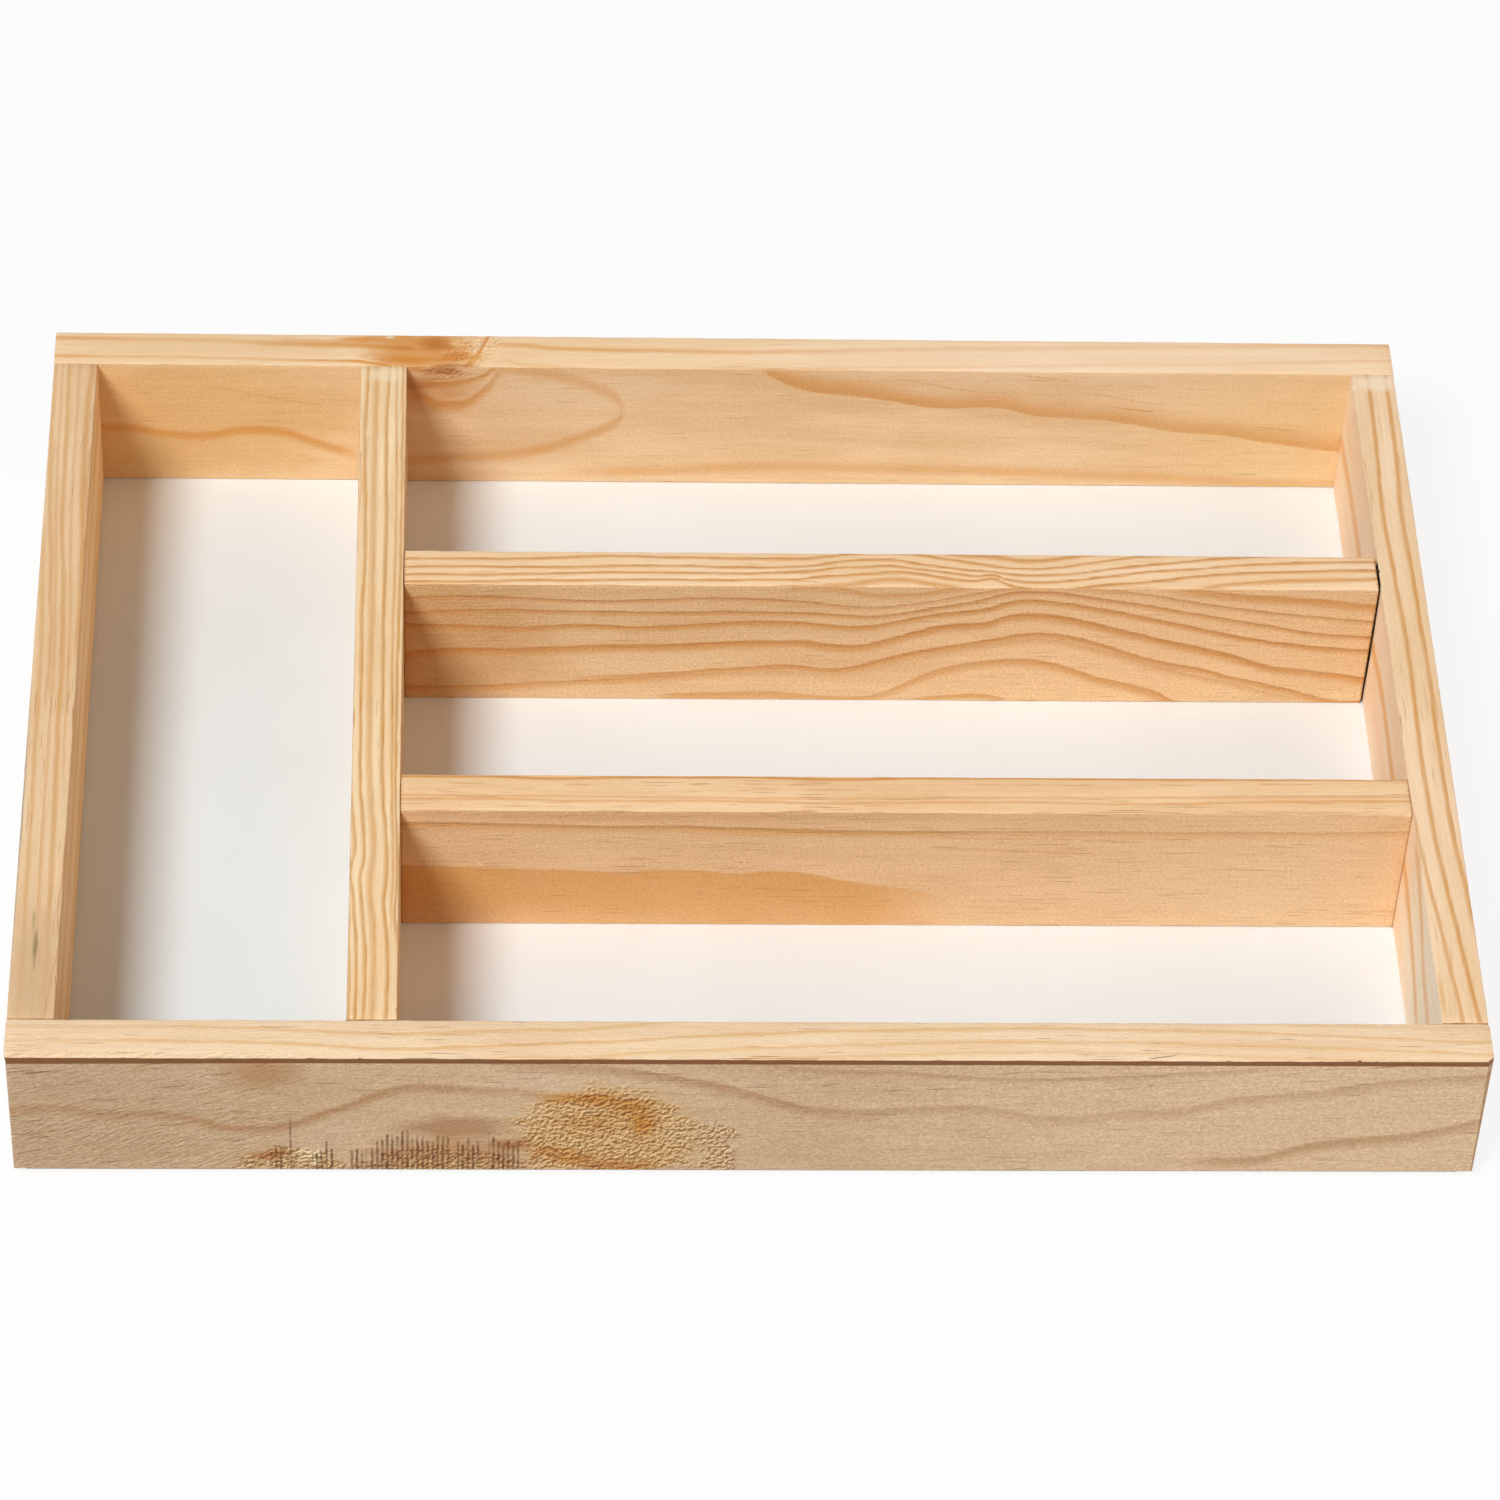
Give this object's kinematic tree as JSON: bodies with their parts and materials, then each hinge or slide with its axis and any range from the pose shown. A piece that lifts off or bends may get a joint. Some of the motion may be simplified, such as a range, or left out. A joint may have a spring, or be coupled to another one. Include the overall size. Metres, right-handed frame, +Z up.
{
  "type": "cutlery tray",
  "caption": "Open rectangular cutlery tray of butt-jointed pine boards on a thin white floor, with a long compartment at one end and rows across the rest.",
  "frame": {"origin": "middle of the underside, where the floor panel rests", "axes": "+X from the long compartment's end to the other end, +Y from front to back, +Z up"},
  "size_m": [0.35, 0.246, 0.045],
  "materials": {
    "front_board": "pine, cream with a rough knot and saw marks low on the front face",
    "back_board": "pine, cream with an orange knot and flame figure",
    "left_board": "pine, pale with broad tan bands",
    "right_board": "pine, pale with bold orange lines",
    "long_divider": "pine, straight close grain",
    "front_cross_divider": "pine, plain tan with one darker flame",
    "rear_cross_divider": "pine, strong wavy orange grain",
    "floor_panel": "hardboard with a smooth satin white face above and bare brown board below",
    "pin_steel": "bright drawn wire",
    "staple_steel": "galvanised flat wire"
  },
  "bodies": {
    "root": {"front_board": "front_board", "back_board": "back_board", "left_board": "left_board", "right_board": "right_board", "long_divider": "long_divider", "front_cross_divider": "front_cross_divider", "rear_cross_divider": "rear_cross_divider", "floor_panel": "floor_panel", "front_left_corner_pins": "pin_steel", "front_right_corner_pins": "pin_steel", "back_left_corner_pins": "pin_steel", "back_right_corner_pins": "pin_steel", "long_divider_front_pins": "pin_steel", "long_divider_back_pins": "pin_steel", "front_cross_divider_left_pins": "pin_steel", "front_cross_divider_right_pins": "pin_steel", "rear_cross_divider_left_pins": "pin_steel", "rear_cross_divider_right_pins": "pin_steel", "front_board_staples": "staple_steel", "back_board_staples": "staple_steel", "left_board_staples": "staple_steel", "right_board_staples": "staple_steel", "long_divider_staples": "staple_steel", "front_cross_divider_staples": "staple_steel", "rear_cross_divider_staples": "staple_steel"}
  },
  "joints": []
}
